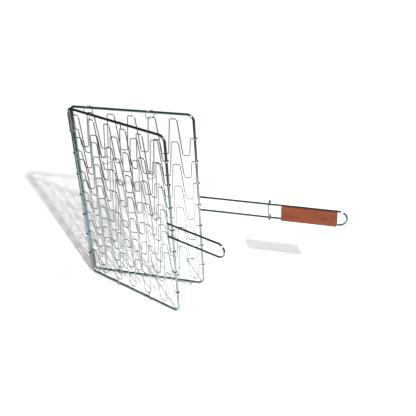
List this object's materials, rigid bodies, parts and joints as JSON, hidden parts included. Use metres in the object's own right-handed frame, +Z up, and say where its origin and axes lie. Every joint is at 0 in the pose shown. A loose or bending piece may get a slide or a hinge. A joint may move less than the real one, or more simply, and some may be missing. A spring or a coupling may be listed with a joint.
{
  "type": "grill basket",
  "caption": "Folding wire grill basket standing on edge: two zigzag-wire leaves on a tall hinge, a long handle with a wooden grip, a short handle and a lock slide.",
  "frame": {"origin": "middle of the object's box in plan, at the height of the surface that it stands on", "axes": "+X along the long handle, from the hinge to the hanging loop; +Y from the front leaf to the back leaf; +Z up, along the hinge"},
  "size_m": [0.5084, 0.1566, 0.3579],
  "materials": {
    "frame_wire": "bright chrome plating on thick round wire, slightly blue-grey",
    "grille_wire": "bright chrome plating on thin round wire",
    "hinge_sheet": "plain rolled steel sheet, dull grey-brown",
    "grip_wood": "reddish-brown hardwood, satin, with fine lengthwise grain"
  },
  "bodies": {
    "back_leaf": {"back_frame": "frame_wire", "back_wave_1": "grille_wire", "back_wave_2": "grille_wire", "back_wave_3": "grille_wire", "back_wave_4": "grille_wire", "back_wave_5": "grille_wire", "back_wave_6": "grille_wire", "back_wave_7": "grille_wire", "back_top_ring_1": "grille_wire", "back_top_ring_2": "grille_wire", "back_bottom_ring_1": "grille_wire", "back_bottom_ring_2": "grille_wire", "back_row_ring_1": "grille_wire", "back_row_ring_2": "grille_wire", "back_row_ring_3": "grille_wire", "long_handle": "frame_wire", "grip": "grip_wood", "hinge_sleeve_bottom": "hinge_sheet", "hinge_sleeve_top": "hinge_sheet"},
    "front_leaf": {"front_frame": "frame_wire", "front_wave_1": "grille_wire", "front_wave_2": "grille_wire", "front_wave_3": "grille_wire", "front_wave_4": "grille_wire", "front_wave_5": "grille_wire", "front_wave_6": "grille_wire", "front_wave_7": "grille_wire", "front_top_ring_1": "grille_wire", "front_top_ring_2": "grille_wire", "front_bottom_ring_1": "grille_wire", "front_bottom_ring_2": "grille_wire", "front_row_ring_1": "grille_wire", "front_row_ring_2": "grille_wire", "front_row_ring_3": "grille_wire", "short_handle": "frame_wire"},
    "slide": {"lock_slide": "frame_wire"}
  },
  "joints": [
    {"name": "leaf_hinge", "type": "hinge", "parent": "back_leaf", "child": "front_leaf", "pos_m": [-0.24982, 0.05962, 0.17895], "axis": [0, 0, -1], "range_deg": [-22, 158]},
    {"name": "slide_travel", "type": "slide", "parent": "back_leaf", "child": "slide", "axis": [1, 0, 0], "range_m": [-0.12, 0.02]}
  ]
}
